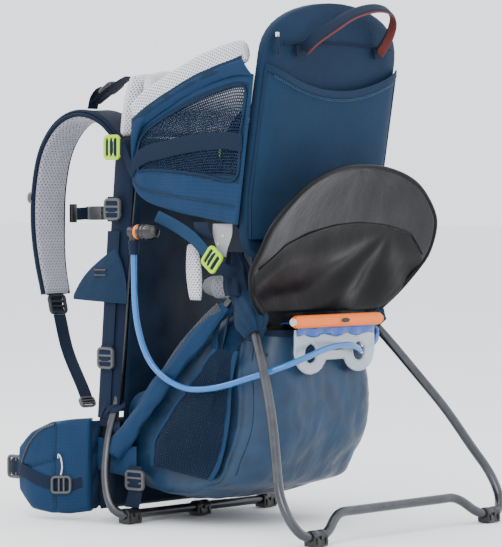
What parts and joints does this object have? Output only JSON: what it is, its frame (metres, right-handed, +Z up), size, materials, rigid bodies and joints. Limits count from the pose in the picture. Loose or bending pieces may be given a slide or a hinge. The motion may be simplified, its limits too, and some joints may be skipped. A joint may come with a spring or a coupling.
{
  "type": "baby carrier backpack",
  "caption": "Framed child carrier backpack: tube frame with folding kickstand, padded back harness and hip belt, child seat between side wings, lower bag with lid and drinking bladder.",
  "frame": {"origin": "on the floor, under the middle of the model's bounding box", "axes": "+Z up, +Y towards the wearer (the harness side), +X to the wearer's right"},
  "size_m": [0.4614, 0.582, 0.7],
  "materials": {
    "tube_metal": "dark grey anodised tube, satin",
    "grey_plastic": "moulded dark grey plastic",
    "lime_plastic": "moulded lime plastic",
    "orange_plastic": "moulded orange plastic",
    "clear_plastic": "milky clear plastic",
    "blue_film": "tinted translucent film",
    "black_rubber": "soft black rubber",
    "grey_mesh": "grey spacer mesh",
    "white_mesh": "white spacer mesh",
    "navy_fabric": "navy woven fabric",
    "blue_fabric": "blue ripstop fabric",
    "black_fabric": "black coated fabric"
  },
  "bodies": {
    "frame": {"front_frame_tube": "tube_metal", "frame_crossbar": "tube_metal", "side_strut_left": "tube_metal", "side_strut_right": "tube_metal", "hinge_pin_left": "tube_metal", "hinge_pin_right": "tube_metal", "front_foot_left": "grey_plastic", "front_foot_middle": "grey_plastic", "front_foot_right": "grey_plastic", "hinge_bracket_left": "grey_plastic", "hinge_bracket_right": "grey_plastic", "back_pad": "grey_mesh", "neck_pad": "white_mesh", "lumbar_pad": "navy_fabric", "front_wall": "navy_fabric", "pack_bag": "blue_fabric", "side_pocket_left": "navy_fabric", "side_pocket_right": "navy_fabric", "child_backrest": "blue_fabric", "wing_right": "blue_fabric", "rim_pad_right": "white_mesh", "side_buckle_upper_right": "lime_plastic", "wing_strap_left": "blue_fabric", "wing_strap_right": "blue_fabric", "side_buckle_lower_left": "lime_plastic", "side_buckle_lower_right": "lime_plastic", "chin_pad": "grey_mesh", "grab_handle": "navy_fabric", "reservoir_film": "blue_film", "reservoir_grip": "clear_plastic", "drinking_hose": "blue_film", "valve_elbow": "grey_plastic", "shoulder_webbing_left": "navy_fabric", "shoulder_webbing_right": "navy_fabric"},
    "kickstand": {"kickstand_tube": "tube_metal", "kickstand_eyelet_left": "tube_metal", "kickstand_eyelet_right": "tube_metal", "kickstand_foot_left": "grey_plastic", "kickstand_foot_right": "grey_plastic"},
    "lid": {"rear_lid": "black_fabric"},
    "slider": {"reservoir_slider": "orange_plastic"},
    "seat": {"seat_cushion": "grey_mesh"},
    "harness": {"shoulder_yoke": "navy_fabric", "shoulder_strap_left": "grey_mesh", "shoulder_strap_right": "grey_mesh", "strap_buckle_left": "grey_plastic", "strap_buckle_right": "grey_plastic", "load_lifter_left": "navy_fabric", "load_lifter_right": "navy_fabric"},
    "sternum": {"sternum_buckle": "grey_plastic", "sternum_strap_left": "navy_fabric", "sternum_strap_right": "navy_fabric"},
    "side_wing": {"wing_left": "blue_fabric", "rim_pad_left": "white_mesh", "side_buckle_upper_left": "lime_plastic"},
    "valve": {"bite_valve": "black_rubber"},
    "hip_fin_left_body": {"hip_fin_left": "blue_fabric", "hip_buckle_left": "grey_plastic"},
    "hip_fin_right_body": {"hip_fin_right": "blue_fabric", "hip_buckle_right": "grey_plastic"}
  },
  "joints": [
    {"name": "kickstand_fold", "type": "hinge", "parent": "frame", "child": "kickstand", "pos_m": [0, -0.089, 0.326], "axis": [1, 0, 0], "range_deg": [0, 52]},
    {"name": "rear_lid_hinge", "type": "hinge", "parent": "frame", "child": "lid", "pos_m": [0, -0.134, 0.281], "axis": [1, 0, 0], "range_deg": [-8, 40]},
    {"name": "slider_pull", "type": "slide", "parent": "frame", "child": "slider", "axis": [-1, 0, 0], "range_m": [0, 0.16]},
    {"name": "seat_height", "type": "slide", "parent": "frame", "child": "seat", "axis": [0, 0, 1], "range_m": [0, 0.05]},
    {"name": "harness_height", "type": "slide", "parent": "frame", "child": "harness", "axis": [0, -0.0753, 0.9972], "range_m": [0, 0.045]},
    {"name": "sternum_height", "type": "slide", "parent": "harness", "child": "sternum", "axis": [0, 0, 1], "range_m": [-0.02, 0.025]},
    {"name": "side_entry_left", "type": "hinge", "parent": "frame", "child": "side_wing", "pos_m": [-0.141, -0.115, 0.404], "axis": [0, -0.1407, 0.9901], "range_deg": [0, 65]},
    {"name": "valve_twist", "type": "hinge", "parent": "frame", "child": "valve", "pos_m": [-0.166, 0.04, 0.3945], "axis": [0, -1, 0], "range_deg": [0, 90]},
    {"name": "hip_fin_left_swing", "type": "hinge", "parent": "frame", "child": "hip_fin_left_body", "pos_m": [-0.13, 0.148, 0.07], "axis": [0, 0, -1], "range_deg": [-20, 30]},
    {"name": "hip_fin_right_swing", "type": "hinge", "parent": "frame", "child": "hip_fin_right_body", "pos_m": [0.13, 0.148, 0.07], "axis": [0, 0, 1], "range_deg": [-20, 30]}
  ]
}
